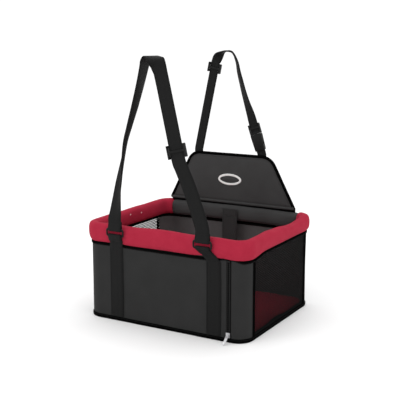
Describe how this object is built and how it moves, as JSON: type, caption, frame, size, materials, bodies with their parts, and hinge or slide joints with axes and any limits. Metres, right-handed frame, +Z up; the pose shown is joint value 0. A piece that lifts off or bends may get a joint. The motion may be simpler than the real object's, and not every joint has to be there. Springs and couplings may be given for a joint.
{
  "type": "dog car seat",
  "caption": "Open fabric booster box for a small dog, with a padded rim, net side windows, a fold-down backrest, hanging straps and a tether with a snap hook.",
  "frame": {"origin": "middle of the underside, on the floor", "axes": "+Z up, -Y the front with the two sewn bands and the zipper, +X to the right seen from the front"},
  "size_m": [0.434, 0.3932, 0.617],
  "materials": {
    "oxford_cloth": "coated woven",
    "lining_cloth": "woven",
    "net": "open net",
    "red_plush": "short pile",
    "binding": "ribbed tape",
    "webbing": "woven webbing",
    "black_plastic": "moulded",
    "white_plastic": "extruded",
    "board": "sheet",
    "zinc": "cast and plated",
    "steel": "plated",
    "badge_white": "woven"
  },
  "bodies": {
    "carrier": {"base_panel": "oxford_cloth", "front_panel": "oxford_cloth", "back_panel": "oxford_cloth", "corner_front_left": "oxford_cloth", "corner_front_right": "oxford_cloth", "corner_back_right": "oxford_cloth", "corner_back_left": "oxford_cloth", "base_board": "board", "floor_mat": "red_plush", "rim_sleeve_red": "red_plush", "mesh_window_left": "net", "mesh_window_right": "net", "window_binding_left_front": "binding", "window_binding_left_back": "binding", "window_binding_right_front": "binding", "window_binding_right_back": "binding", "bottom_binding": "binding", "top_binding": "binding", "inner_binding": "binding", "zipper_tape_left": "binding", "zipper_tape_right": "binding", "rim_sleeve_black": "lining_cloth", "front_tube": "white_plastic", "back_tube": "white_plastic", "left_tube": "white_plastic", "right_tube": "white_plastic", "elbow_front_left": "black_plastic", "elbow_front_right": "black_plastic", "elbow_back_right": "black_plastic", "elbow_back_left": "black_plastic", "zipper_teeth_left": "black_plastic", "zipper_teeth_right": "black_plastic", "front_band_left": "webbing", "front_band_right": "webbing", "tether_anchor": "webbing", "zipper_bottom_stop": "zinc", "zipper_top_stop": "zinc"},
    "front_rings": {"ring_left": "black_plastic", "ring_right": "black_plastic"},
    "front_strap": {"front_strap": "webbing"},
    "front_slider": {"front_slider": "black_plastic"},
    "backrest": {"backrest_panel": "oxford_cloth", "backrest_binding": "binding", "badge_border": "badge_white", "badge_patch": "lining_cloth", "rear_anchor_left": "webbing", "rear_anchor_right": "webbing"},
    "rear_strap": {"rear_strap": "webbing", "rear_strap_lower": "webbing", "buckle_tongue": "black_plastic", "buckle_housing": "black_plastic"},
    "buckle_prong_left": {"buckle_prong_left": "black_plastic"},
    "buckle_prong_right": {"buckle_prong_right": "black_plastic"},
    "rear_slider": {"rear_slider": "black_plastic"},
    "zipper_slider": {"zipper_slider": "zinc"},
    "zipper_pull": {"zipper_pull": "zinc"},
    "tether": {"tether_webbing": "webbing", "swivel_eye": "steel"},
    "snap_hook": {"snap_hook": "steel"},
    "snap_gate": {"snap_gate": "steel"}
  },
  "joints": [
    {"name": "front_ring_tilt", "type": "hinge", "parent": "carrier", "child": "front_rings", "pos_m": [0, -0.18651, 0.205], "axis": [1, 0, 0], "range_deg": [0, 35]},
    {"name": "front_strap_swing", "type": "hinge", "parent": "front_rings", "child": "front_strap", "pos_m": [0, -0.18651, 0.221], "axis": [1, 0, 0], "range_deg": [-30, 85]},
    {"name": "front_slider_slide", "type": "slide", "parent": "front_strap", "child": "front_slider", "axis": [-0.2287, 0, 0.9735], "range_m": [0, 0.12]},
    {"name": "backrest_fold", "type": "hinge", "parent": "carrier", "child": "backrest", "pos_m": [0, 0.167, 0.2343], "axis": [1, 0, 0], "range_deg": [-60, 90]},
    {"name": "rear_strap_swing", "type": "hinge", "parent": "backrest", "child": "rear_strap", "pos_m": [0, 0.17205, 0.3633], "axis": [1, 0, 0], "range_deg": [-100, 45]},
    {"name": "rear_slider_slide", "type": "slide", "parent": "rear_strap", "child": "rear_slider", "axis": [-0.2098, 0, -0.9777], "range_m": [0, 0.13]},
    {"name": "prong_left_flex", "type": "hinge", "parent": "rear_strap", "child": "buckle_prong_left", "pos_m": [0.05179, 0.17205, 0.40698], "axis": [0, -1, 0], "range_deg": [0, 12], "stiffness_Nm_per_rad": 2, "springref_deg": -1.15},
    {"name": "prong_right_flex", "type": "hinge", "parent": "rear_strap", "child": "buckle_prong_right", "pos_m": [0.0685, 0.17205, 0.41251], "axis": [0, 1, 0], "range_deg": [0, 12], "stiffness_Nm_per_rad": 2, "springref_deg": -1.15},
    {"name": "zipper_slide", "type": "slide", "parent": "carrier", "child": "zipper_slider", "axis": [0, 0, 1], "range_m": [0, 0.158]},
    {"name": "zipper_pull_swing", "type": "hinge", "parent": "zipper_slider", "child": "zipper_pull", "pos_m": [0.169, -0.1801, 0.0175], "axis": [-1, 0, 0], "range_deg": [-40, 80]},
    {"name": "tether_swing", "type": "hinge", "parent": "carrier", "child": "tether", "pos_m": [-0.003, 0.15095, 0.20045], "axis": [-1, 0, 0], "range_deg": [0, 70]},
    {"name": "snap_swivel", "type": "hinge", "parent": "tether", "child": "snap_hook", "pos_m": [-0.003, 0.15375, 0.0955], "axis": [0, 0, 1], "continuous": true},
    {"name": "snap_gate_swing", "type": "hinge", "parent": "snap_hook", "child": "snap_gate", "pos_m": [-0.008, 0.15375, 0.08545], "axis": [0, -1, 0], "range_deg": [0, 30], "stiffness_Nm_per_rad": 0.02, "springref_deg": -8.59}
  ]
}
